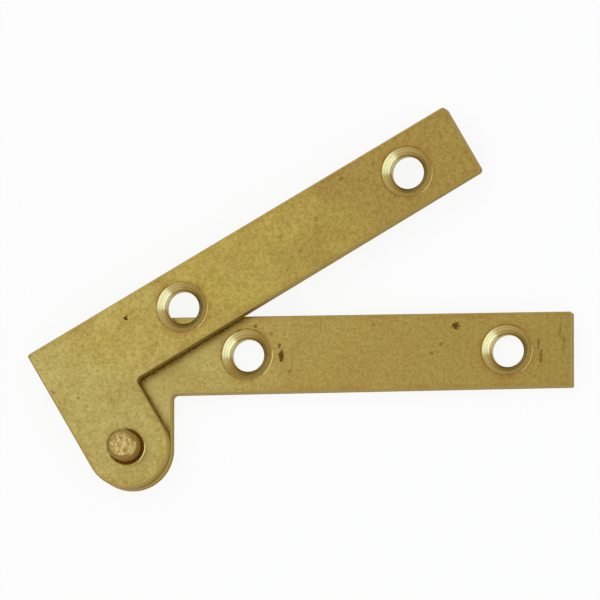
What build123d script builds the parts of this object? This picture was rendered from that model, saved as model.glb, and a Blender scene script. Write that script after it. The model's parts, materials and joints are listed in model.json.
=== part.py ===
from build123d import *
import os

# Cranked pin hinge: two flat brass leaves of one shape, blanked from sheet, that swing on a
# shouldered pin riveted into the lower leaf. A thin washer keeps the leaves apart.
# Frame: +Z along the pin, origin on the pin axis at the lower leaf's underside, +X along the lower arm.
# All sizes are in millimetres, angles in degrees.

# Leaf outline
leaf_length = 64.6
arm_root_width = 10.3
arm_end_width = 9.95
leaf_thickness = 2.2
heel_reach = 5.4
ear_radius = 5.5
crank_offset = 7.1
free_corner_radius = 0.6
heel_corner_radius = 0.35
crotch_radius = 0.6
rolled_edge = 0.12
burr_edge = 0.12

# Screw holes, countersunk from the top face
screw_hole_diameter = 4.3
countersink_diameter = 6.5
countersink_angle = 90.0
near_hole_from_pin = 15.7
far_hole_from_end = 8.7

# Pivot pin
pin_diameter = 4.0
pin_proud = 4.0
pin_tip_chamfer = 0.4
pin_shoulder = 0.5
rivet_flare = 0.4
pin_running_clearance = 0.05
pin_hole_chamfer = 0.3

# Spacer washer between the leaves
washer_thickness = 0.55
washer_setback = 1.0
washer_clearance = 0.1
washer_edge = 0.08
leaf_play = 0.05

# Swing of the upper leaf from the lower one
open_angle = 30.0

# Places that follow from the sizes
pin_radius = pin_diameter / 2
tenon_radius = pin_radius - pin_shoulder
pin_hole_radius = pin_radius + pin_running_clearance
free_end = leaf_length - heel_reach
ear_inner_side = 2 * ear_radius - heel_reach
arm_outer_edge = crank_offset + arm_root_width
arm_centre_line = crank_offset + arm_root_width / 2
end_inner_edge = arm_centre_line - arm_end_width / 2
end_outer_edge = arm_centre_line + arm_end_width / 2
screw_hole_places = [
    (near_hole_from_pin, arm_centre_line),
    (free_end - far_hole_from_end, arm_centre_line),
]
upper_underside = leaf_thickness + washer_thickness + leaf_play
upper_top = upper_underside + leaf_thickness
pin_tip = upper_top + pin_proud
lower_plane = Plane.XY
upper_plane = Plane.XY.offset(upper_underside).rotated((0, 0, open_angle))

os.makedirs("parts", exist_ok=True)


def corner(outline, x, y):
    """The vertex of an outline nearest to one of its drawn corners."""
    return outline.vertices().sort_by_distance((x, y, 0))[0]


# Flat outline: an arm that narrows a little to its free end, cranked out from a round ear at the pin
with BuildSketch() as leaf_outline:
    with BuildLine():
        arm = Polyline(
            (-heel_reach, 0),
            (-heel_reach, arm_outer_edge),
            (free_end, end_outer_edge),
            (free_end, end_inner_edge),
            (ear_inner_side, crank_offset),
            (ear_inner_side, 0),
        )
        RadiusArc(arm @ 1, arm @ 0, ear_radius)
    make_face()
    fillet(corner(leaf_outline, -heel_reach, arm_outer_edge), heel_corner_radius)
    fillet(corner(leaf_outline, free_end, end_outer_edge), free_corner_radius)
    fillet(corner(leaf_outline, free_end, end_inner_edge), free_corner_radius)
    fillet(corner(leaf_outline, ear_inner_side, crank_offset), crotch_radius)


def blanked_leaf(plane):
    """A leaf lying on a plane: rolled top edge, deburred lower edge, countersunk screw holes."""
    with BuildPart(plane) as leaf:
        with BuildSketch(plane):
            add(leaf_outline.sketch)
        extrude(amount=leaf_thickness)
        top_rim = leaf.faces().sort_by(Axis.Z)[-1].outer_wire().edges()
        fillet(top_rim, rolled_edge)
        lower_rim = leaf.faces().sort_by(Axis.Z)[0].outer_wire().edges()
        chamfer(lower_rim, burr_edge)
        with Locations(*[(x, y, leaf_thickness) for x, y in screw_hole_places]):
            CounterSinkHole(
                screw_hole_diameter / 2,
                countersink_diameter / 2,
                counter_sink_angle=countersink_angle,
            )
    return leaf.part


# Lower leaf: the pin's tenon passes through it and is riveted flush into a seat on the underside
with BuildPart() as lower_leaf:
    add(blanked_leaf(lower_plane))
    with Locations(Location((0, 0, 0), (180, 0, 0))):
        CounterSinkHole(tenon_radius, tenon_radius + rivet_flare, counter_sink_angle=90)

# Upper leaf: turns on the pin, with a chamfered mouth to its hole
with BuildPart() as upper_leaf:
    add(blanked_leaf(upper_plane))
    with Locations((0, 0, upper_top)):
        CounterSinkHole(pin_hole_radius, pin_hole_radius + pin_hole_chamfer, counter_sink_angle=90)

# Pivot pin: flared rivet foot, tenon, shoulder on the lower leaf's top face, chamfered tip
with BuildPart() as pivot_pin:
    with BuildSketch(Plane.XZ):
        with BuildLine():
            Polyline(
                (0, 0),
                (tenon_radius + rivet_flare, 0),
                (tenon_radius, rivet_flare),
                (tenon_radius, leaf_thickness),
                (pin_radius, leaf_thickness),
                (pin_radius, pin_tip - pin_tip_chamfer),
                (pin_radius - pin_tip_chamfer, pin_tip),
                (0, pin_tip),
                close=True,
            )
        make_face()
    revolve(axis=Axis.Z)

# Spacer washer: lies on the lower leaf, loose around the pin
with BuildPart() as spacer_washer:
    with BuildSketch(Plane.XY.offset(leaf_thickness)):
        Circle(ear_radius - washer_setback)
        Circle(pin_radius + washer_clearance, mode=Mode.SUBTRACT)
    extrude(amount=washer_thickness)
    chamfer(spacer_washer.edges().filter_by(GeomType.CIRCLE).group_by(SortBy.RADIUS)[-1], washer_edge)

lower_leaf.part.label = "lower_leaf"
export_step(lower_leaf.part, "parts/lower_leaf.step")

upper_leaf.part.label = "upper_leaf"
export_step(upper_leaf.part, "parts/upper_leaf.step")

pivot_pin.part.label = "pivot_pin"
export_step(pivot_pin.part, "parts/pivot_pin.step")

spacer_washer.part.label = "spacer_washer"
export_step(spacer_washer.part, "parts/spacer_washer.step")
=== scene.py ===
"""Cranked pin hinge in brass: two blanked leaves of one shape that swing on a riveted pin.

The leaves are swept and filled from a drawn outline, the pin and its washer are turned from a drawn
section, and every finish is a node material with its scales in real millimetres.
"""

import json
import math

import bpy
from bpy.props import FloatProperty, FloatVectorProperty, IntProperty, PointerProperty
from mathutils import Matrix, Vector


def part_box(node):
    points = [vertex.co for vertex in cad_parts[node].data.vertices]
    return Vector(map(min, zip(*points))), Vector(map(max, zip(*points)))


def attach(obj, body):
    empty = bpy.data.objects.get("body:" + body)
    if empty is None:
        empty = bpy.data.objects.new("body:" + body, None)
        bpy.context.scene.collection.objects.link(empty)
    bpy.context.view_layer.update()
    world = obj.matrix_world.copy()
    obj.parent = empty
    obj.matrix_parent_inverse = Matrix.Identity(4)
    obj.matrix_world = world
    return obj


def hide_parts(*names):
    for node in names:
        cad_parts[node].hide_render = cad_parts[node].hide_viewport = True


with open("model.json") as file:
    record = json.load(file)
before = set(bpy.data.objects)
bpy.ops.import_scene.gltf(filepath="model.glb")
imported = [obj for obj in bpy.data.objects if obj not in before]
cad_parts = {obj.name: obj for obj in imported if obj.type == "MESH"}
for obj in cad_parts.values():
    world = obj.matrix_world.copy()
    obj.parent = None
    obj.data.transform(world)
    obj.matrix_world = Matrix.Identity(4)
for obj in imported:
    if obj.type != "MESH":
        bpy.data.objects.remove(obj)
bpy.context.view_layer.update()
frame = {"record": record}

bl_info = {
    "name": "Cranked Pin Hinge",
    "version": (1, 0, 0),
    "blender": (4, 5, 0),
    "location": "3D View > Sidebar > Pin Hinge",
    "description": "Makes the leaves, the pin and the washer of a cranked brass pin hinge",
    "category": "Object",
}

MM = 0.001

# What the frame says of the leaves, the pin and the washer
LEAF_LOW, LEAF_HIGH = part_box("lower_leaf")
UPPER_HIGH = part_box("upper_leaf")[1]
PIN_LOW, PIN_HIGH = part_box("pivot_pin")
WASHER_LOW, WASHER_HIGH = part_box("spacer_washer")
MOUNTS = {mount["name"]: mount for mount in frame["record"]["mounts"]}
PLACES = {name: Vector(mount["pos_m"]) for name, mount in MOUNTS.items()}
NEAR_HOLE, FAR_HOLE = PLACES["lower_near_screw_hole"], PLACES["lower_far_screw_hole"]
SCREW_RADIUS = MOUNTS["lower_near_screw_hole"]["dims"]["r_mm"] * MM
UPPER_ARM = PLACES["upper_far_screw_hole"] - PLACES["upper_near_screw_hole"]
OPEN_ANGLE = math.atan2(UPPER_ARM.y, UPPER_ARM.x)

# Stains on the top faces, on the leaf's own X and Y: (x, y, half width, half height, strength), in mm
LOWER_STAINS = (
    (20.35, 11.95, 0.34, 0.7, 0.95),
    (20.1, 13.4, 0.22, 0.35, 0.75),
    (43.7, 15.6, 0.45, 0.42, 0.95),
    (16.8, 16.0, 0.25, 0.2, 0.7),
    (14.6, 15.4, 0.3, 0.2, 0.45),
    (19.0, 15.0, 0.25, 0.25, 0.4),
    (21.5, 10.0, 0.25, 0.25, 0.4),
    (32.7, 15.9, 0.3, 0.2, 0.35),
    (40.5, 12.0, 0.3, 0.25, 0.4),
    (41.7, 13.2, 0.25, 0.25, 0.35),
    (54.8, 13.1, 0.18, 0.7, 0.5),
    (55.1, 11.3, 0.2, 1.0, 0.6),
    (57.7, 14.6, 0.16, 1.0, 0.4),
    (58.2, 13.2, 0.14, 1.2, 0.35),
)
UPPER_STAINS = (
    (8.5, 14.8, 0.3, 0.28, 1.0),
    (-2.3, 8.9, 0.2, 0.2, 0.6),
    (-4.8, 11.3, 0.2, 0.3, 0.5),
    (10.5, 9.8, 0.25, 0.25, 0.35),
    (30.2, 9.1, 0.25, 0.2, 0.35),
    (31.7, 13.5, 0.3, 0.25, 0.35),
    (33.0, 10.5, 0.3, 0.25, 0.35),
    (37.0, 13.0, 0.3, 0.25, 0.4),
    (42.5, 15.9, 0.3, 0.25, 0.45),
    (47.2, 15.5, 0.25, 0.25, 0.4),
    (-5.2, 17.2, 0.3, 0.3, 0.6),
)
# How each leaf changes from pale brass along its arm: (start, stop, colour that it changes to), in mm
LOWER_TONES = ((0, 26, "body"), (24, 62, "old"))
UPPER_TONES = ((-3, 22, "clean"), (27, 43, "old"))

# Seeds of the noises, so that no two pieces are marked alike
LOWER_SEED, UPPER_SEED, PIN_SEED, WASHER_SEED = 3.0, 8.0, 5.0, 2.0

# Shape of the leaves: points on each round, the flat by an edge, a lip's crest as shares of its width
CORNER_POINTS = 7
EDGE_POINTS = 5
HOLE_POINTS = 72
EDGE_LAND = 0.08 * MM
LIP_CREST = (0.65, 0.3)
MERGE = 0.001 * MM
SHARP_ANGLE = math.radians(28)
SHEAR_LINE = 0.5 * MM
SHEAR_STRETCH = (1, 1, 0.2)

# Shape of turned pieces: a rail close to the axis, and saw marks that grow shallow near the tip's rim
AXIS_RAIL = 0.01 * MM
SAW_STRETCH = (1, 0.8, 1)
SAW_STOP = 0.75
SAW_AT_RIM = 0.3
FLAT = (1, 1, 0)

# Names by which a drawing and a tree pass on what they know of a place
CORNER_RADIUS = "corner_radius"
SIDE_MARK = "is_side"
HOLE_MARK = "is_hole"

# Finishes: sizes of their noises with the detail of each, rings of the drill and punch, depths of relief
SHEET_NOISES = ((9.0 * MM, 3.0), (4.0 * MM, 4.0), (0.6 * MM, 3.0), (0.3 * MM, 2.0))
SHEET_RELIEF = 0.005 * MM
SHEET_LIFT = 1.1
TONE_DRIFT = 44 * MM
# Reach of the brown by the edges, which is partly painted shade
EDGE_CAST = (1.1 * MM, 0.3 * MM)
HOLE_CAST = 1.2 * MM
TORN_LINE, TORN_PATCH, TORN_GRAIN = 0.35 * MM, 2.5 * MM, 0.3 * MM
TORN_RELIEF = 0.008 * MM
BURNISH_DEPTH, BURNISH_WAVE, BURNISH_TOOTH, BURNISH_BLEND = 0.7 * MM, 1.4 * MM, 1.2 * MM, 0.18 * MM
DRILL_PATCH, DRILL_WANDER, DRILL_RING = 1.2 * MM, 0.3 * MM, 0.36 * MM
DRILL_RELIEF = 0.002 * MM
ROD_LINE, ROD_PATCH, ROD_RAGGED = 0.35 * MM, 1.2 * MM, 0.4 * MM
ROD_STRETCH = (1, 1, 0.15)
ROD_RELIEF = 0.004 * MM
GREASE_PATCH, PUNCH_RING = 1.5 * MM, 0.25 * MM
PUNCH_RELIEF = 0.003 * MM

# Stage: the paper, and where the lights stand from the hinge, with their width and height
PICTURE_SENSOR = 36.0
FLOOR_SIDE = 4.0
FLOOR_GAP = 0.02 * MM
KEY_PLACE, KEY_SIZE = Vector((-0.22, 0.16, 0.42)), (0.22, 0.22)
STRIP_PLACE, STRIP_SIZE = Vector((0.3, -0.12, 0.055)), (0.44, 0.09)

# Node kinds and their settings: a range takes a value, its two ends and what each end gives, a noise
# takes a place, a seed, a scale and its detail, and a mix takes a share and two colours
TIMES, PER, PLUS, MINUS, TIMES_PLUS, LEAST, MOST, ABOVE, SINE = (
    {"kind": "ShaderNodeMath", "operation": operation}
    for operation in "MULTIPLY DIVIDE ADD SUBTRACT MULTIPLY_ADD MINIMUM MAXIMUM GREATER_THAN SINE".split()
)
STRETCH, SCALE, CROSS = (
    {"kind": "ShaderNodeVectorMath", "operation": operation}
    for operation in ("MULTIPLY", "SCALE", "CROSS_PRODUCT")
)
APART, SPAN = (
    {"kind": "ShaderNodeVectorMath", "operation": operation, "out": "Value"}
    for operation in ("DISTANCE", "LENGTH")
)
RANGE = "ShaderNodeMapRange"
SMOOTH = {"kind": RANGE, "interpolation_type": "SMOOTHSTEP"}
NOISE = {"kind": "ShaderNodeTexNoise", "noise_dimensions": "4D"}
MIX = {"kind": "ShaderNodeMix", "data_type": "RGBA", "out": 2}
AXES = "ShaderNodeSeparateXYZ"
POINT = "ShaderNodeCombineXYZ"
UNDER, OVER = 6, 7
WHITE = (1, 1, 1, 1)


def linear(hex_colour):
    """An sRGB hex colour as the linear values that shaders work in, with full opacity."""
    channels = [int(hex_colour[i : i + 2], 16) / 255 for i in (1, 3, 5)]
    return *(c / 12.92 if c <= 0.04045 else ((c + 0.055) / 1.055) ** 2.4 for c in channels), 1.0


def add(tree, kind, inputs=(), **settings):
    """Adds a node: settings are its properties, and inputs fill its sockets in order, by name or by
    number, with a list for several links to one socket. Gives one output, or all if out is None."""
    settings = {**(kind if isinstance(kind, dict) else {"kind": kind}), **settings}
    node = tree.nodes.new(settings.pop("kind"))
    out = settings.pop("out", 0)
    for name, value in settings.items():
        setattr(node, name, value)
    for socket, value in inputs.items() if isinstance(inputs, dict) else enumerate(inputs):
        for item in value if isinstance(value, list) else [value]:
            if isinstance(item, bpy.types.NodeSocket):
                tree.links.new(item, node.inputs[socket])
            else:
                node.inputs[socket].default_value = item
    return node.outputs if out is None else node.outputs[out]


def colour(name, note, hex_colour):
    """A colour that a user may change."""
    shown = {"name": name, "description": note, "subtype": "COLOR", "size": 4}
    return FloatVectorProperty(**shown, default=linear(hex_colour), min=0.0, max=1.0)


def length(name, note, metres):
    """A length that a user may change."""
    return FloatProperty(name=name, description=note, unit="LENGTH", precision=5, default=metres, min=0.0)


def angle(name, note, degrees):
    """An angle that a user may change."""
    return FloatProperty(name=name, description=note, subtype="ANGLE", default=math.radians(degrees))


def level(name, note, default):
    """A level of light that a user may change."""
    return FloatProperty(name=name, description=note, subtype="UNSIGNED", default=default, min=0.0)


def number(name, note, default, least):
    """A count that a user may change."""
    return IntProperty(name=name, description=note, subtype="UNSIGNED", default=default, min=least)


class LeafSizes(bpy.types.PropertyGroup):
    """Sizes of one leaf, lying with its pin axis on Z and its arm along X."""

    free_end: length("Free end", "From the pin axis to the end of the arm", LEAF_HIGH.x)
    heel_reach: length("Heel reach", "From the pin axis to the side behind the ear", -LEAF_LOW.x)
    ear_radius: length("Ear radius", "Round of the ear's end", 5.5 * MM)
    outer_edge: length("Outer edge", "From the pin axis to the long edge, at the heel", 17.4 * MM)
    crank_offset: length("Crank offset", "From the pin axis to the arm's inner edge", 7.1 * MM)
    end_width: length("End width", "Width of the arm at its free end", 9.95 * MM)
    thickness: length("Thickness", "Thickness of the sheet", LEAF_HIGH.z - LEAF_LOW.z)
    heel_corner: length("Heel corner", "Radius of the corner behind the ear", 0.35 * MM)
    free_corner: length("Free corner", "Radius of the upper leaf's end corners", 0.6 * MM)
    square_corner: length("Square corner", "Radius of the lower leaf's end corners", 0.25 * MM)
    crotch_corner: length("Crotch corner", "Radius of the inner corner by the ear", 0.6 * MM)
    rolled_edge: length("Rolled edge", "Round that blanking rolls over the top edge", 0.12 * MM)
    burr_edge: length("Burr edge", "Break left on the lower edge by deburring", 0.12 * MM)
    screw_hole: length("Screw hole", "Radius of a screw hole", SCREW_RADIUS)
    countersink: length("Countersink", "Radius of a countersink at the top face", 3.25 * MM)
    pin_clearance: length("Pin clearance", "Room round the pin in the leaf that turns", 0.05 * MM)
    pin_mouth: length("Pin mouth", "Chamfer at the mouth of the turning leaf's pin hole", 0.3 * MM)
    lip_width: length("Lip width", "Width of the lip that drilling raises round a hole", 0.24 * MM)
    lip_height: length("Lip height", "Height of that lip", 0.085 * MM)
    shear_depth: length("Shear depth", "Depth of the torn lines on the sheared sides", 0.03 * MM)
    facet: length("Facet", "Longest run between points on an outline", 0.35 * MM)


class PinSizes(bpy.types.PropertyGroup):
    """Sizes of the riveted pin."""

    radius: length("Radius", "Radius of the pin in the turning leaf", PIN_HIGH.x)
    shoulder: length("Shoulder", "Step from the pin down to its tenon", 0.5 * MM)
    rivet_flare: length("Rivet flare", "Flare of the riveted foot", 0.4 * MM)
    tip_chamfer: length("Tip chamfer", "Chamfer round the tip", 0.4 * MM)
    saw_depth: length("Saw depth", "Depth of the saw and file marks across the tip", 0.08 * MM)
    saw_width: length("Saw width", "Width of the saw and file marks", 0.4 * MM)
    facet: length("Facet", "Longest run between points on the section", 0.12 * MM)
    segments: number("Segments", "Facets round the axis", 112, 16)


class WasherSizes(bpy.types.PropertyGroup):
    """Sizes of the spacer washer."""

    radius: length("Radius", "Outer radius", WASHER_HIGH.x)
    clearance: length("Clearance", "Room round the pin", 0.1 * MM)
    edge_break: length("Edge break", "Break on the outer edges", 0.08 * MM)
    facet: length("Facet", "Longest run between points on the section", 0.2 * MM)
    segments: number("Segments", "Facets round the axis", 96, 16)


class BrassColours(bpy.types.PropertyGroup):
    """Colours of the brass, from bright cut metal to dark stains."""

    body: colour("Body", "Dull rolled sheet along the lower arm", "#A58F4D")
    clean: colour("Clean", "Cleaner, yellower sheet along the upper arm", "#AE9A50")
    # Pale is partly painted light: the end by the pin is painted paler, as if lit more from the upper
    # left
    pale: colour("Pale", "Paler, greener sheet by the pin", "#B0A262")
    old: colour("Old", "Browner sheet towards the free end", "#9E8748")
    # Brown round the holes and on the washer is tarnish; by the leaf's edges it is partly painted shade
    brown: colour("Brown", "Reddish tarnish by edges and holes", "#96692F")
    pit: colour("Pit", "Tint that fine pits give the sheet", "#E4DFCE")
    stain: colour("Stain", "Dark spots and specks", "#4F3A16")
    sheared: colour("Sheared", "Torn, dirty sides of the sheet", "#A88A4E")
    worn: colour("Worn", "Burnished band along the sides", "#B29B5C")
    # Rim is painted shade: a darker line along the rolled top edge
    rim: colour("Rim", "Dull rolled edge", "#9C884C")
    glance: colour("Glance", "Tint of the metal at a glancing angle", "#F4E8C4")
    side_glance: colour("Side glance", "Tint of the sheared sides at a glancing angle", "#D0C5A0")
    cut: colour("Cut", "Bright metal where a drill has cut", "#D2BF80")
    rod: colour("Rod", "Handled, browned rod of the pin", "#BF9A56")
    rod_bright: colour("Rod bright", "Sawn tip of the pin", "#C6AD6C")


class StageSettings(bpy.types.PropertyGroup):
    """Light and camera."""

    lean_forward: angle("Lean forward", "Lean of the camera from straight above to the viewer", 6.13)
    lean_right: angle("Lean right", "Lean of the camera from straight above to the right", 9.81)
    distance: length("Distance", "From the camera to the point it aims at", 2.536)
    picture_width: length("Picture width", "Width of what the picture shows at that point", 79.32 * MM)
    aim: FloatVectorProperty(
        name="Aim",
        description="Point at the middle of the picture",
        subtype="TRANSLATION",
        unit="LENGTH",
        default=(23.08 * MM, 19.245 * MM, 3.55 * MM),
    )
    room_light: level("Room light", "Level of the white room", 0.8)
    key_light: level("Key light", "Level of the upper left softbox", 1.1)
    side_light: level("Side light", "Level of the right strip light", 3.7)
    side_tint: colour("Side tint", "Cool daylight of the strip light", "#A4C8FF")
    paper: colour("Paper", "White paper under the hinge", "#FAFAF9")
    plain_white: FloatProperty(
        name="Plain white",
        description="How far the paper is seen as plain white, with only the rest of its shadow",
        subtype="FACTOR",
        default=0.88,
        min=0.0,
        max=1.0,
    )


def new_tree(name, **labels):
    """A tree with geometry in and out and named inputs, listed by kind, and what those inputs give."""
    tree = bpy.data.node_groups.new(name, "GeometryNodeTree")
    tree.interface.new_socket("Geometry", in_out="INPUT", socket_type="NodeSocketGeometry")
    for kind, names in labels.items():
        for label in names:
            tree.interface.new_socket(label, in_out="INPUT", socket_type="NodeSocket" + kind)
    tree.interface.new_socket("Geometry", in_out="OUTPUT", socket_type="NodeSocketGeometry")
    return tree, add(tree, "NodeGroupInput", out=None)


def tree_once(name, make):
    """A node tree by its name, made if it isn't there yet."""
    return bpy.data.node_groups.get(name) or make()


def even_points_tree():
    """Cuts the straight runs of a curve into lengths of about the spacing, and keeps its corners."""
    tree, given = new_tree("Even Points", Float=("Spacing",))
    here = add(tree, "GeometryNodeInputPosition")
    index = add(tree, "GeometryNodeInputIndex")
    step = {"Point Index": index, "Offset": 1}
    following = add(tree, "GeometryNodeOffsetPointInCurve", step, out="Point Index")
    ahead = {"Index": following, "Value": here}
    there = add(tree, "GeometryNodeFieldAtIndex", ahead, data_type="FLOAT_VECTOR", domain="POINT")
    run = add(tree, APART, (here, there))
    cuts = add(tree, PER, (run, given["Spacing"]))
    cut = add(tree, "GeometryNodeSubdivideCurve", {"Curve": given["Geometry"], "Cuts": cuts})
    add(tree, "NodeGroupOutput", (cut,), out=None)
    return tree


def evened(tree, line, spacing):
    """A line whose straight runs are cut into lengths of about the spacing."""
    even_points = tree_once("Even Points", even_points_tree)
    return add(tree, "GeometryNodeGroup", {"Geometry": line, "Spacing": spacing}, node_tree=even_points)


def section_line(tree, points):
    """An open line through four points, each (distance out, depth): a section to sweep along a rail."""
    corners = {
        f"Point {count}": add(tree, POINT, (out, depth))
        for count, (out, depth) in enumerate(points, start=1)
    }
    four = add(tree, "GeometryNodeCurvePrimitiveQuadrilateral", corners, mode="POINTS")
    return add(tree, "GeometryNodeSetSplineCyclic", {"Geometry": four, "Cyclic": False})


def swept(tree, rail, section):
    """The wall that a section makes along a flat rail: its X goes out to the rail's right, its Y down."""
    flat_rail = add(tree, "GeometryNodeSetCurveNormal", (rail,), mode="Z_UP")
    return add(tree, "GeometryNodeCurveToMesh", (flat_rail, section))


def moved_out(tree, rail, distance):
    """A flat rail with each point moved out to its right."""
    along = add(tree, "GeometryNodeInputTangent")
    out = add(tree, CROSS, (along, (0, 0, 1)))
    step = add(tree, SCALE, {0: out, "Scale": distance})
    return add(tree, "GeometryNodeSetPosition", {"Geometry": rail, "Offset": step})


def height_below(tree, depth):
    """A depth below the top face as a height."""
    return add(tree, TIMES, (depth, -1.0))


def marked(tree, mesh, name):
    """A mesh whose faces all carry a named mark, by which they get their finish later."""
    mark = {"Geometry": mesh, "Name": name, "Value": True}
    return add(tree, "GeometryNodeStoreNamedAttribute", mark, data_type="BOOLEAN", domain="FACE")


def smoothed(tree, mesh):
    """A mesh shaded smooth, apart from its sharp edges."""
    shade = "GeometryNodeSetShadeSmooth"
    smooth = add(tree, shade, {"Geometry": mesh, "Shade Smooth": True}, domain="FACE")
    turn = add(tree, "GeometryNodeInputMeshEdgeAngle", out="Unsigned Angle")
    sharp = add(tree, ABOVE, (turn, SHARP_ANGLE))
    crease = {"Geometry": smooth, "Selection": sharp, "Shade Smooth": False}
    return add(tree, shade, crease, domain="EDGE")


def leaf_tree():
    """A leaf blanked from sheet, hanging below its top face: a drawn outline rounded at its corners, the
    edge's section swept round it, holes with flared mouths, and flat faces filled between them."""
    tree, given = new_tree(
        "Blanked Leaf",
        Float=(
            *("Thickness", "Rolled Edge", "Burr Edge", "Shear Depth", "Facet"),
            *("Screw Hole", "Countersink", "Pin Hole", "Pin Mouth", "Pin Foot"),
            *("Lip Width", "Screw Lip", "Pin Lip", "Turn", "Top Face", "Seed"),
        ),
        Vector=("Near Hole", "Far Hole"),
        Material=("Face Finish", "Side Finish", "Hole Finish"),
    )
    thickness, facet, lip_width = given["Thickness"], given["Facet"], given["Lip Width"]

    # Outline: each corner rounded to the radius drawn with it, with more points on a larger round
    radius = add(tree, "GeometryNodeInputNamedAttribute", (CORNER_RADIUS,), data_type="FLOAT")
    quarter = add(tree, TIMES, (radius, math.pi / 2))
    runs = add(tree, PER, (quarter, facet))
    count = add(tree, MOST, (runs, CORNER_POINTS))
    drawn = add(tree, "GeometryNodeMeshToCurve", (given["Geometry"],))
    rounds = {"Curve": drawn, "Count": count, "Radius": radius, "Limit Radius": True}
    rounded = add(tree, "GeometryNodeFilletCurve", rounds, mode="POLY")
    wire = add(tree, "GeometryNodeCurveToMesh", (rounded,))
    joined = add(tree, "GeometryNodeMergeByDistance", {"Geometry": wire, "Distance": MERGE})
    outline = evened(tree, add(tree, "GeometryNodeMeshToCurve", (joined,)), facet)

    # Edge section: a narrow land, the rolled top edge, the sheared side, the deburred lower edge, a land
    top_inset, low_inset = (
        add(tree, TIMES_PLUS, (given[edge], -1.0, -EDGE_LAND))
        for edge in ("Rolled Edge", "Burr Edge")
    )
    corners = section_line(tree, [(top_inset, 0.0), (0.0, 0.0), (0.0, thickness), (low_inset, thickness)])
    is_low = add(tree, ABOVE, (add(tree, "GeometryNodeInputIndex"), 1.5))
    breaks = {"Switch": is_low, "False": given["Rolled Edge"], "True": given["Burr Edge"]}
    edge_radius = add(tree, "GeometryNodeSwitch", breaks, input_type="FLOAT")
    rounds = {"Curve": corners, "Count": EDGE_POINTS, "Radius": edge_radius, "Limit Radius": True}
    section = evened(tree, add(tree, "GeometryNodeFilletCurve", rounds, mode="POLY"), facet)
    side = marked(tree, swept(tree, outline, section), SIDE_MARK)

    # Torn lines down the sheared side, dying out on its two worn edges
    position = add(tree, "GeometryNodeInputPosition")
    stretched = add(tree, STRETCH, (position, SHEAR_STRETCH))
    tear = add(tree, NOISE, (stretched, given["Seed"], 1 / SHEAR_LINE, 3.0))
    depth = height_below(tree, add(tree, AXES, (position,), out="Z"))
    left = add(tree, MINUS, (thickness, depth))
    from_top = add(tree, RANGE, (depth, 0.0, given["Rolled Edge"]))
    from_low = add(tree, RANGE, (left, 0.0, given["Burr Edge"]))
    sunk = tear
    for share in (add(tree, TIMES, (from_top, from_low)), given["Shear Depth"]):
        sunk = add(tree, TIMES, (sunk, share))
    normal = add(tree, "GeometryNodeInputNormal")
    inward = add(tree, SCALE, {0: normal, "Scale": height_below(tree, sunk)})
    side = add(tree, "GeometryNodeSetPosition", {"Geometry": side, "Offset": inward})

    # Holes: a bore that may flare at the top face and at the lower face, with a lip round its mouth
    sink = add(tree, MINUS, (given["Countersink"], given["Screw Hole"]))
    ends = {"Count": 2, "Start Location": given["Near Hole"], "Offset": given["Far Hole"]}
    screw_places = add(tree, "GeometryNodeMeshLine", ends, mode="END_POINTS")
    pin_place = add(tree, "GeometryNodeMeshLine", {"Count": 1})
    crest_out, crest_in = (add(tree, TIMES, (lip_width, share)) for share in LIP_CREST)
    walls, top_rings, low_rings = [], [], []
    for bore, top_flare, low_flare, lip, places in (
        (given["Screw Hole"], sink, 0.0, given["Screw Lip"], screw_places),
        (given["Pin Hole"], given["Pin Mouth"], given["Pin Foot"], given["Pin Lip"], pin_place),
    ):
        low_mouth = add(tree, MINUS, (thickness, low_flare))
        flared = [(top_flare, 0.0), (0.0, top_flare), (0.0, low_mouth), (low_flare, thickness)]
        cut = section_line(tree, flared)
        crest = height_below(tree, lip)
        raised = section_line(tree, [(lip_width, 0.0), (crest_out, crest), (crest_in, crest), (0.0, 0.0)])
        mouth = add(tree, PLUS, (bore, top_flare))
        top_radius = add(tree, PLUS, (mouth, lip_width))
        low_radius = add(tree, PLUS, (bore, low_flare))
        rail, lip_rail, top_ring, low_ring = (
            add(tree, "GeometryNodeCurvePrimitiveCircle", {"Resolution": HOLE_POINTS, "Radius": size})
            for size in (bore, mouth, top_radius, low_radius)
        )
        wall, lip_ring = (
            add(tree, "GeometryNodeFlipFaces", (swept(tree, line, profile),))
            for line, profile in ((rail, cut), (lip_rail, raised))
        )
        wall = marked(tree, wall, HOLE_MARK)
        rows = ((wall, walls), (lip_ring, walls), (top_ring, top_rings), (low_ring, low_rings))
        for shape, shapes in rows:
            copies = add(tree, "GeometryNodeInstanceOnPoints", {"Points": places, "Instance": shape})
            shapes.append(add(tree, "GeometryNodeRealizeInstances", (copies,)))

    # Flat faces, filled between the outline and the holes
    faces = []
    for inset, rings in ((top_inset, top_rings), (low_inset, low_rings)):
        lines = add(tree, "GeometryNodeJoinGeometry", ([moved_out(tree, outline, inset), *rings],))
        faces.append(add(tree, "GeometryNodeFillCurve", (lines,), mode="TRIANGLES"))
    top, low = faces
    sheet = add(tree, POINT, {"Z": height_below(tree, thickness)})
    lowered = add(tree, "GeometryNodeTransform", {"Geometry": low, "Translation": sheet})
    low = add(tree, "GeometryNodeFlipFaces", (lowered,))

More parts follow.
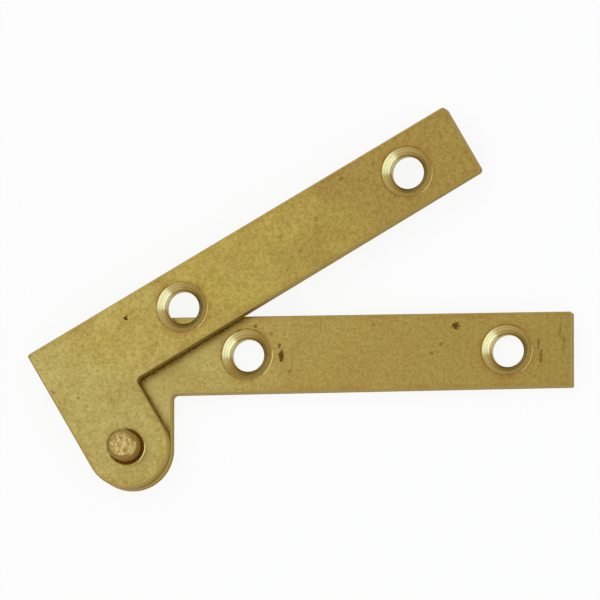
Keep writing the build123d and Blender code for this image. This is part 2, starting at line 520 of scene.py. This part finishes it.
    # One closed skin, shaded smooth over its rounds, then turned and lifted to its place
    shell = add(tree, "GeometryNodeJoinGeometry", ([side, *walls, top, low],))
    closed = add(tree, "GeometryNodeMergeByDistance", {"Geometry": shell, "Distance": MERGE})
    lift = add(tree, POINT, {"Z": given["Top Face"]})
    turn = add(tree, POINT, {"Z": given["Turn"]})
    move = {"Geometry": smoothed(tree, closed), "Translation": lift, "Rotation": turn}
    real = add(tree, "GeometryNodeRealizeInstances", (add(tree, "GeometryNodeTransform", move),))
    dressed = add(tree, "GeometryNodeSetMaterial", {"Geometry": real, "Material": given["Face Finish"]})
    for mark, finish in ((SIDE_MARK, "Side Finish"), (HOLE_MARK, "Hole Finish")):
        chosen = add(tree, "GeometryNodeInputNamedAttribute", (mark,), data_type="BOOLEAN")
        coat = {"Geometry": dressed, "Selection": chosen, "Material": given[finish]}
        dressed = add(tree, "GeometryNodeSetMaterial", coat)
    add(tree, "NodeGroupOutput", (dressed,), out=None)
    return tree


def turned_tree():
    """A turned piece: a drawn section, as (radius, height), swept round the Z axis, with a sawn tip."""
    tree, given = new_tree(
        "Turned Piece",
        Int=("Segments",),
        Float=("Facet", "Tip", "Tip Reach", "Tip Radius", "Saw Depth", "Saw Width", "Seed"),
        Material=("Finish",),
    )
    tip, tip_radius = given["Tip"], given["Tip Radius"]
    drawn = add(tree, "GeometryNodeMeshToCurve", (given["Geometry"],))
    move = {"Geometry": drawn, "Translation": (-AXIS_RAIL, 0, 0), "Scale": (1, -1, 1)}
    section = evened(tree, add(tree, "GeometryNodeTransform", move), given["Facet"])
    ring = {"Resolution": given["Segments"], "Radius": AXIS_RAIL}
    rail = add(tree, "GeometryNodeCurvePrimitiveCircle", ring)
    skin = add(tree, "GeometryNodeFlipFaces", (swept(tree, rail, section),))
    closed = add(tree, "GeometryNodeMergeByDistance", {"Geometry": skin, "Distance": MERGE})

    # Sawn tip: marks sink the end face, less and less down its chamfer
    position = add(tree, "GeometryNodeInputPosition")
    stretched = add(tree, STRETCH, (position, SAW_STRETCH))
    scale = add(tree, PER, (1.0, given["Saw Width"]))
    marks = add(tree, NOISE, (stretched, given["Seed"], scale, 2.0))
    height = add(tree, AXES, (position,), out="Z")
    reach_low = add(tree, MINUS, (tip, given["Tip Reach"]))
    fade = add(tree, SMOOTH, (height, reach_low, tip))
    flat = add(tree, STRETCH, (position, FLAT))
    out = add(tree, SPAN, (flat,))
    rim_start = add(tree, TIMES, (tip_radius, SAW_STOP))
    short = add(tree, SMOOTH, (out, rim_start, tip_radius, 1.0, SAW_AT_RIM))
    for share in (short, fade, given["Saw Depth"]):
        marks = add(tree, TIMES, (marks, share))
    step = add(tree, POINT, {"Z": height_below(tree, marks)})
    sawn = add(tree, "GeometryNodeSetPosition", {"Geometry": closed, "Offset": step})

    real = add(tree, "GeometryNodeRealizeInstances", (smoothed(tree, sawn),))
    dressed = add(tree, "GeometryNodeSetMaterial", {"Geometry": real, "Material": given["Finish"]})
    add(tree, "NodeGroupOutput", (dressed,), out=None)
    return tree


def placed(name, data):
    """A new object in the scene, at the origin."""
    item = bpy.data.objects.new(name, data)
    bpy.context.scene.collection.objects.link(item)
    return item


def drawing(name, corners, closed=True, radii=()):
    """A line drawn through corners as a mesh of edges, with the radius that each corner is rounded to."""
    mesh = bpy.data.meshes.new(name)
    runs = len(corners) if closed else len(corners) - 1
    edges = [(i, (i + 1) % len(corners)) for i in range(runs)]
    mesh.from_pydata([(x, y, 0) for x, y in corners], edges, [])
    if radii:
        attribute = mesh.attributes.new(CORNER_RADIUS, "FLOAT", "POINT")
        attribute.data.foreach_set("value", radii)
    return mesh


def shaped(name, line, tree, values):
    """The plain mesh that a tree makes of a drawn line, as an object of its own at the origin."""
    model = placed(name + "_drawing", line)
    modifier = model.modifiers.new(tree.name, "NODES")
    modifier.node_group = tree
    for socket in tree.interface.items_tree:
        if socket.in_out == "INPUT" and socket.name in values:
            modifier[socket.identifier] = values[socket.name]
    mesh = bpy.data.meshes.new_from_object(model.evaluated_get(bpy.context.evaluated_depsgraph_get()))
    bpy.data.objects.remove(model)
    while None in mesh.materials[:]:
        mesh.materials.pop(index=mesh.materials[:].index(None))
    for mark in (SIDE_MARK, HOLE_MARK, CORNER_RADIUS):
        if mark in mesh.attributes:
            mesh.attributes.remove(mesh.attributes[mark])
    if not mesh.polygons:
        raise RuntimeError(f"{name}: the tree made no faces")
    return placed(name, mesh)


def new_finish(name):
    """A material and its tree, still empty."""
    finish = bpy.data.materials.new(name)
    finish.use_nodes = True
    finish.node_tree.nodes.clear()
    return finish, finish.node_tree


def bare_metal(tree, tone, roughness, glance, relief, depth):
    """Ends a finish as bare metal: its tone and gloss, a tint at a glancing angle, and a fine relief."""
    bump = add(tree, "ShaderNodeBump", {"Distance": depth, "Height": relief})
    look = {"Base Color": tone, "Roughness": roughness, "Specular Tint": glance, "Normal": bump}
    metal = add(tree, "ShaderNodeBsdfPrincipled", {"Metallic": 1.0, **look})
    add(tree, "ShaderNodeOutputMaterial", (metal,), out=None)


def leaf_place(tree, turn, top_face):
    """Coordinates of a leaf as it lies by itself: pin axis on Z, arm along X, top face at height zero."""
    coordinates = add(tree, "ShaderNodeTexCoord", out="Object")
    return add(tree, "ShaderNodeMapping", (coordinates, (0, 0, -top_face), (0, 0, -turn)))


def edge_distance(tree, place, leaf):
    """How far inside the leaf's outline a place is: the larger of what the arm and the ear give."""
    axes = add(tree, AXES, (place,), out=None)
    x, y = axes["X"], axes["Y"]
    middle = (leaf.outer_edge + leaf.crank_offset) / 2
    taper = (0.0, leaf.free_end, leaf.outer_edge - middle, leaf.end_width / 2)
    half_width = add(tree, RANGE, (x, *taper), clamp=False)
    offset = add(tree, MINUS, (y, middle))
    outer = add(tree, MINUS, (half_width, offset))
    inner = add(tree, PLUS, (half_width, offset))
    end = add(tree, MINUS, (leaf.free_end, x))
    heel = add(tree, PLUS, (x, leaf.heel_reach))
    arm = outer
    for edge in (inner, end, heel):
        arm = add(tree, LEAST, (arm, edge))
    below = add(tree, LEAST, (y, 0.0))
    flat = add(tree, POINT, (x, below))
    centre = (leaf.ear_radius - leaf.heel_reach, 0, 0)
    reach = add(tree, APART, (flat, centre))
    round_ear = add(tree, MINUS, (leaf.ear_radius, reach))
    ear = add(tree, LEAST, (round_ear, outer))
    return add(tree, MOST, (arm, ear))


def hole_distance(tree, place):
    """How far a place is from the axis of the nearer screw hole."""
    flat = add(tree, STRETCH, (place, FLAT))
    near, far = (add(tree, APART, (flat, (hole.x, hole.y, 0))) for hole in (NEAR_HOLE, FAR_HOLE))
    return add(tree, LEAST, (near, far))


def rolled_sheet_brass(name, leaf, colours, turn, top_face, tones, stains, seed):
    """Rolled sheet brass, tumbled and left to tarnish: a dull satin yellow with an olive bloom, paler by
    the pin partly as painted light, a fine mottle from the tumbling, and a brown tarnish by the edges,
    the holes and the free end, which along the edges is partly painted shade."""
    finish, tree = new_finish(name)
    place = leaf_place(tree, turn, top_face)
    cloud, patch, mottle, grain = (
        add(tree, NOISE, (place, seed, 1 / size, detail))
        for size, detail in SHEET_NOISES
    )

    # From pale by the pin through yellow to brownish at the free end, the change broken into clouds; the
    # pale end by the pin is partly the sheet's own tone and partly painted light, as if lit more from the
    # upper left
    along = add(tree, AXES, (place,), out="X")
    drift = add(tree, TIMES_PLUS, (cloud, TONE_DRIFT, -TONE_DRIFT / 2))
    reach = add(tree, PLUS, (along, drift))
    tone = colours.pale
    for start, stop, shade in tones:
        share = add(tree, SMOOTH, (reach, start * MM, stop * MM))
        tone = add(tree, MIX, {0: share, UNDER: tone, OVER: getattr(colours, shade)})

    # Small brownish patches all over
    spread = add(tree, RANGE, (patch, 0.42, 0.68, 0.0, 0.45))
    tone = add(tree, MIX, {0: spread, UNDER: tone, OVER: colours.old})

    # Reddish brown by the edges and round the holes, in patches: round the holes it is tarnish, by the
    # edges it is partly tarnish and partly painted shade along the edge
    edge_tarnish_and_shade = add(tree, SMOOTH, (edge_distance(tree, place, leaf), *EDGE_CAST, 0.0, 0.28))
    mouth = leaf.countersink
    by_hole = add(tree, SMOOTH, (hole_distance(tree, place), mouth + HOLE_CAST, mouth, 0.0, 0.45))
    cast = add(tree, PLUS, (edge_tarnish_and_shade, by_hole))
    uneven = add(tree, RANGE, (patch, 0.4, 0.62, 0.0, 1.2))
    cast = add(tree, TIMES, (cast, uneven), use_clamp=True)
    tone = add(tree, MIX, {0: cast, UNDER: tone, OVER: colours.brown})

    # Tumbled mottle: real pits are about 0.1 mm across, drawn three to six times coarser to show
    speckle = add(tree, PLUS, (mottle, grain))
    clean = add(tree, RANGE, (speckle, 0.72, 1.24))
    tint = add(tree, MIX, {0: clean, UNDER: colours.pit, OVER: WHITE})
    tone = add(tree, MIX, {0: 1.0, UNDER: tone, OVER: tint}, blend_type="MULTIPLY")
    tone = add(tree, SCALE, {0: tone, "Scale": SHEET_LIFT})

    # Stains: dark ragged spots and streaks, each at its own place on the top face
    ragged = add(tree, RANGE, (grain, 0.3, 0.7, -0.45, 0.45))
    stained = 0.0
    for x, y, half_width, half_height, strength in stains:
        at, size = (x * MM, y * MM, 0), (half_width * MM, half_height * MM, MM)
        spot = add(tree, "ShaderNodeMapping", (place, at, (0, 0, 0), size), vector_type="TEXTURE")
        reach = add(tree, SPAN, (spot,))
        wavy = add(tree, PLUS, (reach, ragged))
        dark = add(tree, SMOOTH, (wavy, 1.4, 0.7, 0.0, strength))
        stained = add(tree, MOST, (stained, dark))
    tone = add(tree, MIX, {0: stained, UNDER: tone, OVER: colours.stain})

    # Satin gloss, duller where it is stained
    satin = add(tree, RANGE, (speckle, 0.7, 1.3, 0.2, 0.32))
    dull = add(tree, TIMES_PLUS, (stained, 0.2, satin))
    bare_metal(tree, tone, dull, colours.glance, speckle, SHEET_RELIEF)
    return finish


def sheared_brass(name, leaf, colours, turn, top_face, seed):
    """Sheared sheet edge: the punch burnishes a band under the top edge and tears the rest, which stays
    rough and dirty and looks darker, with fine upright lines; the rolled top edge is darkened with
    painted shade."""
    finish, tree = new_finish(name)
    place = leaf_place(tree, turn, top_face)
    lined = add(tree, STRETCH, (place, SHEAR_STRETCH))
    line, patch, grain = (
        add(tree, NOISE, (vector, seed, 1 / size, 4.0))
        for vector, size in ((lined, TORN_LINE), (place, TORN_PATCH), (place, TORN_GRAIN))
    )

    # Burnished band with a ragged lower edge, over the torn part with its specks
    depth = add(tree, AXES, (place,), out="Z")
    wave = add(tree, TIMES_PLUS, (patch, -BURNISH_WAVE, -BURNISH_DEPTH))
    band = add(tree, TIMES_PLUS, (line, BURNISH_TOOTH, wave))
    below = add(tree, MINUS, (depth, band))
    burnished = add(tree, SMOOTH, (below, -BURNISH_BLEND, BURNISH_BLEND))
    speck = add(tree, RANGE, (grain, 0.35, 0.65, 0.82, 1.12))
    torn = add(tree, SCALE, {0: colours.sheared[:3], "Scale": speck})
    tone = add(tree, MIX, {0: burnished, UNDER: torn, OVER: colours.worn})

    # Upright lines, and a painted shade line along the rolled edge at the top
    shade = add(tree, RANGE, (line, 0.3, 0.7, 0.9, 1.06))
    tone = add(tree, SCALE, {0: tone, "Scale": shade})
    # Painted shade: the rolled top edge is darkened to a line
    rolled_edge_shade = add(tree, SMOOTH, (depth, -2 * leaf.rolled_edge, -0.5 * leaf.rolled_edge))
    tone = add(tree, MIX, {0: rolled_edge_shade, UNDER: tone, OVER: colours.rim})
    rough = add(tree, RANGE, (burnished, 0.0, 1.0, 0.42, 0.28))
    relief = add(tree, PLUS, (line, grain))
    bare_metal(tree, tone, rough, colours.side_glance, relief, TORN_RELIEF)
    return finish


def countersunk_brass(name, colours, turn, top_face, seed):
    """Drilled and countersunk brass: bright where the drill has cut, with fine rings round the axis,
    darker brown towards the bottom of the cone and darker still by the bore."""
    finish, tree = new_finish(name)
    place = leaf_place(tree, turn, top_face)
    patch = add(tree, NOISE, (place, seed, 1 / DRILL_PATCH, 4.0))

    # Drill rings are about 0.05 mm apart, drawn at 0.36 mm so that they show
    wander = add(tree, TIMES_PLUS, (patch, DRILL_WANDER, hole_distance(tree, place)))
    turns = add(tree, TIMES, (wander, math.tau / DRILL_RING))
    ring = add(tree, SINE, (turns,))
    scored = add(tree, RANGE, (ring, -1.0, 1.0, 0.86, 1.06))

    # Darker brown down the cone, and darker still with a ragged edge by the bore
    depth = add(tree, AXES, (place,), out="Z")
    low = add(tree, SMOOTH, (depth, -0.4 * MM, -1.2 * MM, 0.0, 0.35))
    darker_down_cone = add(tree, TIMES_PLUS, (patch, 0.3, low), use_clamp=True)
    tone = add(tree, MIX, {0: darker_down_cone, UNDER: colours.cut, OVER: colours.old})
    tone = add(tree, SCALE, {0: tone, "Scale": scored})
    ragged = add(tree, TIMES_PLUS, (patch, 0.5 * MM, depth))
    darker_by_bore = add(tree, SMOOTH, (ragged, -0.6 * MM, -0.88 * MM, 0.0, 0.4))
    tone = add(tree, MIX, {0: darker_by_bore, UNDER: tone, OVER: colours.stain})

    # Satin at the mouth, glossier down the cone
    rough = add(tree, SMOOTH, (depth, -0.25 * MM, -0.7 * MM, 0.34, 0.22))
    bare_metal(tree, tone, rough, colours.glance, ring, DRILL_RELIEF)
    return finish


def drawn_brass_rod(name, pin, colours, tip, seed):
    """Drawn brass rod, sawn to length: a browned side with faint lines along it, a rim darkened with
    painted shade, in patches, and a sawn tip whose high spots are worn bright while its saw marks stay
    dark."""
    finish, tree = new_finish(name)
    place = add(tree, "ShaderNodeTexCoord", out="Object")
    sawn = add(tree, STRETCH, (place, SAW_STRETCH))
    lined = add(tree, STRETCH, (place, ROD_STRETCH))
    mark, line, patch = (
        add(tree, NOISE, (vector, seed, 1 / size, 2.0))
        for vector, size in ((sawn, pin.saw_width), (lined, ROD_LINE), (place, ROD_PATCH))
    )

    # Where the chamfer starts, where the end face is, and the ragged edge between them
    height = add(tree, AXES, (place,), out="Z")
    flat = add(tree, STRETCH, (place, FLAT))
    out = add(tree, SPAN, (flat,))
    ragged = add(tree, TIMES_PLUS, (patch, ROD_RAGGED, out))
    face_edge = pin.radius - pin.tip_chamfer + 0.2 * MM
    on_rim = add(tree, SMOOTH, (height, tip - 1.2 * pin.tip_chamfer, tip - 0.9 * pin.tip_chamfer))
    on_top = add(tree, SMOOTH, (height, tip - 0.5 * pin.tip_chamfer, tip - 0.25 * pin.tip_chamfer))
    inside = add(tree, SMOOTH, (ragged, face_edge, face_edge - 0.25 * MM))
    on_face = add(tree, TIMES, (on_top, inside))

    # Stain in the saw marks and along the side, and painted shade in patches on the rim
    sunk = add(tree, RANGE, (mark, 0.42, 0.62, 0.0, 0.6))
    dirty = add(tree, TIMES, (sunk, on_face))
    side = add(tree, RANGE, (line, 0.35, 0.65, 0.0, 0.15))
    worn = add(tree, RANGE, (patch, 0.35, 0.65, 0.15, 0.55))
    # Painted shade on the rim: browner all round, and darker in patches
    rim_shade = add(tree, TIMES, (worn, on_rim))
    tone = colours.rod
    for share, shade in (
        (side, colours.stain),
        (on_rim, colours.old),
        (rim_shade, colours.stain),
        (on_face, colours.rod_bright),
        (dirty, colours.stain),
    ):
        tone = add(tree, MIX, {0: share, UNDER: tone, OVER: shade})
    rough = add(tree, RANGE, (patch, 0.0, 1.0, 0.35, 0.6))
    rough = add(tree, TIMES_PLUS, (on_rim, -0.2, rough))
    bare_metal(tree, tone, rough, colours.glance, line, ROD_RELIEF)
    return finish


def punched_washer_brass(name, colours, seed):
    """Punched washer: thin sheet brass worn by the leaves, with fine rings and dark old grease."""
    finish, tree = new_finish(name)
    place = add(tree, "ShaderNodeTexCoord", out="Object")
    flat = add(tree, STRETCH, (place, FLAT))
    reach = add(tree, SPAN, (flat,))
    grease = add(tree, NOISE, (place, seed, 1 / GREASE_PATCH, 4.0))
    turns = add(tree, TIMES, (reach, math.tau / PUNCH_RING))
    ring = add(tree, SINE, (turns,))
    dark = add(tree, RANGE, (grease, 0.4, 0.7))
    tone = add(tree, MIX, {0: dark, UNDER: colours.brown, OVER: colours.stain})
    rough = add(tree, RANGE, (grease, 0.0, 1.0, 0.3, 0.5))
    bare_metal(tree, tone, rough, colours.glance, ring, PUNCH_RELIEF)
    return finish


class HINGE_OT_leaves(bpy.types.Operator):
    """Blank both leaves from sheet brass and lay them on the pin"""

    bl_idname = "hinge.leaves"
    bl_label = "Blank the Leaves"

    def execute(self, context):
        scene = context.scene
        leaf, pin, colours = scene.hinge_leaf, scene.hinge_pin, scene.hinge_brass
        tree = tree_once("Blanked Leaf", leaf_tree)
        ear = leaf.ear_radius
        inner_side = 2 * ear - leaf.heel_reach
        middle = (leaf.outer_edge + leaf.crank_offset) / 2
        corners = [
            (-leaf.heel_reach, leaf.outer_edge),
            (-leaf.heel_reach, -ear),
            (inner_side, -ear),
            (inner_side, leaf.crank_offset),
            (leaf.free_end, middle - leaf.end_width / 2),
            (leaf.free_end, middle + leaf.end_width / 2),
        ]
        radii = [leaf.heel_corner, ear, ear, leaf.crotch_corner]
        sizes = {
            "Thickness": leaf.thickness,
            "Rolled Edge": leaf.rolled_edge,
            "Burr Edge": leaf.burr_edge,
            "Facet": leaf.facet,
            "Screw Hole": leaf.screw_hole,
            "Countersink": leaf.countersink,
            "Near Hole": (NEAR_HOLE.x, NEAR_HOLE.y, 0.0),
            "Far Hole": (FAR_HOLE.x, FAR_HOLE.y, 0.0),
            "Shear Depth": leaf.shear_depth,
            "Lip Width": leaf.lip_width,
            "Screw Lip": leaf.lip_height,
        }

        # Each leaf's own: end corners, pin hole with mouth, foot and lip, turn and height, and marks
        seat = (pin.radius - pin.shoulder, 0.0, pin.rivet_flare, 0.0)
        bearing = (pin.radius + leaf.pin_clearance, leaf.pin_mouth, 0.0, leaf.lip_height)
        lower = (leaf.square_corner, seat, (0.0, LEAF_HIGH.z), (LOWER_TONES, LOWER_STAINS, LOWER_SEED))
        turned = (OPEN_ANGLE, UPPER_HIGH.z)
        upper = (leaf.free_corner, bearing, turned, (UPPER_TONES, UPPER_STAINS, UPPER_SEED))
        for body, own in (("lower_leaf", lower), ("upper_leaf", upper)):
            end_corner, pin_hole, laid, marks = own
            seed = marks[-1]
            sheet = rolled_sheet_brass(f"rolled sheet brass {body}", leaf, colours, *laid, *marks)
            values = {
                **sizes,
                **dict(zip(("Pin Hole", "Pin Mouth", "Pin Foot", "Pin Lip"), pin_hole)),
                **dict(zip(("Turn", "Top Face"), laid)),
                "Seed": seed,
                "Face Finish": sheet,
                "Side Finish": sheared_brass(f"sheared brass {body}", leaf, colours, *laid, seed),
                "Hole Finish": countersunk_brass(f"countersunk brass {body}", colours, *laid, seed),
            }
            outline = drawing(f"{body}_outline", corners, radii=[*radii, end_corner, end_corner])
            piece = shaped(f"{body}_blank", outline, tree, values)
            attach(piece, body)
            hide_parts(body)
        return {"FINISHED"}


class HINGE_OT_pin(bpy.types.Operator):
    """Turn the pin, rivet its foot and saw its tip"""

    bl_idname = "hinge.pin"
    bl_label = "Turn the Pin"

    def execute(self, context):
        pin, colours = context.scene.hinge_pin, context.scene.hinge_brass
        tenon = pin.radius - pin.shoulder
        foot, tip = PIN_LOW.z, PIN_HIGH.z
        section = [
            (0.0, foot),
            (tenon + pin.rivet_flare, foot),
            (tenon, foot + pin.rivet_flare),
            (tenon, LEAF_HIGH.z),
            (pin.radius, LEAF_HIGH.z),
            (pin.radius, tip - pin.tip_chamfer),
            (pin.radius - pin.tip_chamfer, tip),
            (0.0, tip),
        ]
        values = {
            "Segments": pin.segments,
            "Facet": pin.facet,
            "Tip": tip,
            "Tip Reach": 2 * pin.tip_chamfer,
            "Tip Radius": pin.radius - pin.tip_chamfer,
            "Saw Depth": pin.saw_depth,
            "Saw Width": pin.saw_width,
            "Seed": PIN_SEED,
            "Finish": drawn_brass_rod("drawn brass rod", pin, colours, tip, PIN_SEED),
        }
        line = drawing("pin_section", section, closed=False)
        piece = shaped("riveted_pin", line, tree_once("Turned Piece", turned_tree), values)
        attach(piece, "lower_leaf")
        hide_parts("pivot_pin")
        return {"FINISHED"}


class HINGE_OT_washer(bpy.types.Operator):
    """Punch the washer that keeps the leaves apart"""

    bl_idname = "hinge.washer"
    bl_label = "Punch the Washer"

    def execute(self, context):
        scene = context.scene
        washer, pin, colours = scene.hinge_washer, scene.hinge_pin, scene.hinge_brass
        bore = pin.radius + washer.clearance
        low, high = WASHER_LOW.z, WASHER_HIGH.z
        section = [
            (bore, low),
            (washer.radius - washer.edge_break, low),
            (washer.radius, low + washer.edge_break),
            (washer.radius, high - washer.edge_break),
            (washer.radius - washer.edge_break, high),
            (bore, high),
        ]
        values = {
            "Segments": washer.segments,
            "Facet": washer.facet,
            "Tip": high,
            "Tip Reach": high - low,
            "Tip Radius": washer.radius,
            "Saw Depth": 0.0,
            "Saw Width": MM,
            "Seed": WASHER_SEED,
            "Finish": punched_washer_brass("punched washer brass", colours, WASHER_SEED),
        }
        line = drawing("washer_section", section)
        piece = shaped("punched_washer", line, tree_once("Turned Piece", turned_tree), values)
        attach(piece, "lower_leaf")
        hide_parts("spacer_washer")
        return {"FINISHED"}


def seen_ray(tree):
    """One for a ray by which the eye, the metal or glass sees the background, and zero for its light."""
    ray = add(tree, "ShaderNodeLightPath", out=None)
    seen = ray["Is Camera Ray"]
    for way in ("Is Glossy Ray", "Is Transmission Ray"):
        seen = add(tree, MOST, (seen, ray[way]))
    return seen


def softbox(name, place, aim, size, strength, tint=WHITE):
    """An even soft light of a given radiance that looks at a point."""
    width, height = size
    light = bpy.data.lights.new(name, "AREA")
    light.shape = "RECTANGLE"
    light.size, light.size_y = width, height
    light.color = tint[:3]
    light.energy = strength * width * height * math.pi
    lamp = placed(name, light)
    lamp.location = aim + place
    lamp.rotation_euler = (-place).to_track_quat("-Z", "Y").to_euler()
    lamp.visible_camera = False


class HINGE_OT_stage(bpy.types.Operator):
    """Lay white paper under the hinge, light it softly and set the camera"""

    bl_idname = "hinge.stage"
    bl_label = "Set the Stage"

    def execute(self, context):
        scene, stage = context.scene, context.scene.hinge_stage
        scene.view_settings.view_transform = "Standard"

        half = FLOOR_SIDE / 2
        corners = [(-half, -half), (half, -half), (half, half), (-half, half)]
        mesh = bpy.data.meshes.new("paper")
        mesh.from_pydata([(x, y, LEAF_LOW.z - FLOOR_GAP) for x, y in corners], [], [(0, 1, 2, 3)])
        paper, tree = new_finish("white paper")
        seen = add(tree, TIMES, (seen_ray(tree), stage.plain_white))
        matt = add(tree, "ShaderNodeBsdfDiffuse", {"Color": stage.paper})
        plain = add(tree, "ShaderNodeEmission", {"Color": WHITE, "Strength": 1.0})
        sheet = add(tree, "ShaderNodeMixShader", (seen, matt, plain))
        add(tree, "ShaderNodeOutputMaterial", (sheet,), out=None)
        mesh.materials.append(paper)
        floor = placed("paper", mesh)

        # White room: its lamps' share of the light is lower than the white that the eye and the metal see
        room = bpy.data.worlds.new("white room")
        room.use_nodes = True
        tree = room.node_tree
        tree.nodes.clear()
        shine = add(tree, RANGE, (seen_ray(tree), 0.0, 1.0, stage.room_light, 1.0))
        white = add(tree, "ShaderNodeBackground", {"Color": WHITE, "Strength": shine})
        add(tree, "ShaderNodeOutputWorld", (white,), out=None)
        scene.world = room

        aim = Vector(stage.aim)
        softbox("key_softbox", KEY_PLACE, aim, KEY_SIZE, stage.key_light)
        softbox("side_strip", STRIP_PLACE, aim, STRIP_SIZE, stage.side_light, stage.side_tint)

        camera = bpy.data.cameras.new("camera")
        camera.sensor_width = PICTURE_SENSOR
        camera.lens = PICTURE_SENSOR * stage.distance / stage.picture_width
        eye = placed("camera", camera)
        eye.rotation_euler = (stage.lean_forward, stage.lean_right, 0.0)
        eye.location = aim + eye.rotation_euler.to_matrix() @ Vector((0, 0, stage.distance))
        scene.camera = eye
        return {"FINISHED"}


STEPS = (HINGE_OT_leaves, HINGE_OT_pin, HINGE_OT_washer, HINGE_OT_stage)
GROUPS = {
    "hinge_leaf": LeafSizes,
    "hinge_pin": PinSizes,
    "hinge_washer": WasherSizes,
    "hinge_brass": BrassColours,
    "hinge_stage": StageSettings,
}


class HINGE_PT_panel(bpy.types.Panel):
    """Sizes, colours and steps of the hinge"""

    bl_idname = "HINGE_PT_panel"
    bl_label = "Pin Hinge"
    bl_space_type = "VIEW_3D"
    bl_region_type = "UI"
    bl_category = "Pin Hinge"

    def draw(self, context):
        for label in GROUPS:
            box = self.layout.box()
            group = getattr(context.scene, label)
            for name in group.bl_rna.properties.keys():
                if name not in ("rna_type", "name"):
                    box.prop(group, name)
        for step in STEPS:
            self.layout.operator(step.bl_idname)


def register():
    for kind in (*GROUPS.values(), *STEPS, HINGE_PT_panel):
        bpy.utils.register_class(kind)
    for label, group in GROUPS.items():
        setattr(bpy.types.Scene, label, PointerProperty(type=group))


def unregister():
    for label in GROUPS:
        delattr(bpy.types.Scene, label)
    for kind in (HINGE_PT_panel, *reversed(STEPS), *GROUPS.values()):
        bpy.utils.unregister_class(kind)


def main():
    register()
    bpy.ops.hinge.leaves()
    bpy.ops.hinge.pin()
    bpy.ops.hinge.washer()
    bpy.ops.hinge.stage()


if __name__ == "__main__":
    main()
